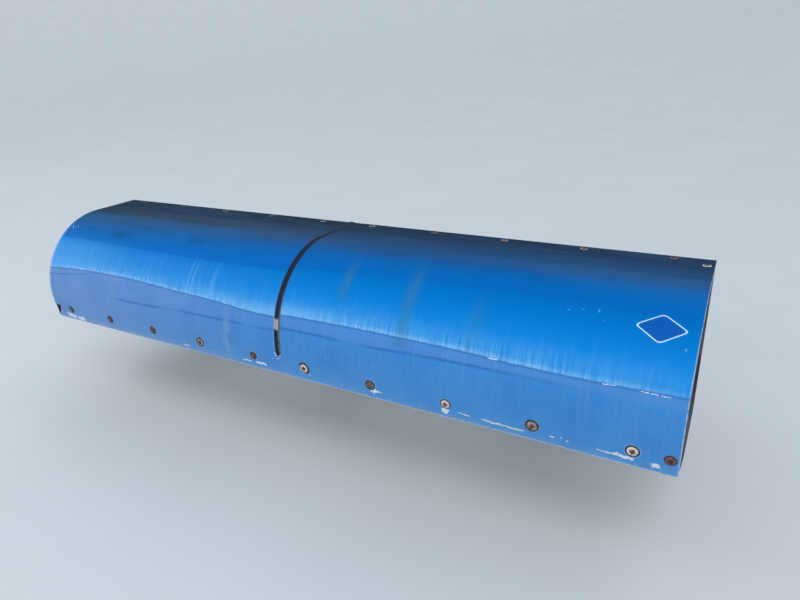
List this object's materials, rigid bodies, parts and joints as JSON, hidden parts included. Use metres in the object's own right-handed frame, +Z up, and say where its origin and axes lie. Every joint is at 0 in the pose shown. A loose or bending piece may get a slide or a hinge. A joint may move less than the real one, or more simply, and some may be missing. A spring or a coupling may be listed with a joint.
{
  "type": "truck compressed gas fuel tank pack",
  "caption": "Side-mounted compressed gas cylinder in strapped hangers that bolt to a truck's frame rail, under a rolled sheet cover with a seam strip.",
  "frame": {"origin": "middle of the mid hanger's bolt pattern, on the plane that meets the frame rail", "axes": "+X the truck's forward direction along the tank, +Y into the truck, +Z up"},
  "size_m": [3.235, 0.792, 0.752],
  "materials": {
    "blue_paint": "weathered gloss",
    "navy_paint": "dull, dusty",
    "black_trim": "satin",
    "rail_paint": "galvanised grey",
    "wound_composite": "resin over wound fibre",
    "bare_aluminium": "turned",
    "black_paint": "satin, road dust",
    "liner_rubber": "matt",
    "strap_steel": "brushed",
    "zinc_steel": "zinc plated",
    "valve_brass": "machined",
    "red_handle": "gloss",
    "coil_plastic": "moulded",
    "pipe_steel": "drawn tube",
    "cap_rubber": "moulded"
  },
  "bodies": {
    "root": {"cover_panel_rear": "blue_paint", "cover_panel_front": "blue_paint", "seam_strip": "black_trim", "top_rail": "rail_paint", "bottom_rail": "rail_paint", "rib_rear": "rail_paint", "rib_mid": "rail_paint", "rib_front": "rail_paint", "end_panel_rear": "navy_paint", "end_panel_front": "navy_paint", "tank_shell": "wound_composite", "boss_rear": "bare_aluminium", "boss_front": "bare_aluminium", "hanger_rear": "black_paint", "hanger_mid": "black_paint", "hanger_front": "black_paint", "saddle_liner_rear": "liner_rubber", "saddle_liner_mid": "liner_rubber", "saddle_liner_front": "liner_rubber", "strap_rear": "strap_steel", "strap_mid": "strap_steel", "strap_front": "strap_steel", "strap_liner_rear": "liner_rubber", "strap_liner_mid": "liner_rubber", "strap_liner_front": "liner_rubber", "strap_bolt_rear": "zinc_steel", "strap_bolt_mid": "zinc_steel", "strap_bolt_front": "zinc_steel", "tank_valve": "valve_brass", "valve_handle": "red_handle", "solenoid_coil": "coil_plastic", "end_plug": "zinc_steel", "relief_device_rear": "valve_brass", "relief_device_front": "valve_brass", "vent_pipe_rear": "pipe_steel", "vent_pipe_front": "pipe_steel", "vent_cap_rear": "cap_rubber", "vent_cap_front": "cap_rubber", "gas_pipe": "pipe_steel", "gas_union": "zinc_steel", "pipe_clip": "zinc_steel"}
  },
  "joints": []
}
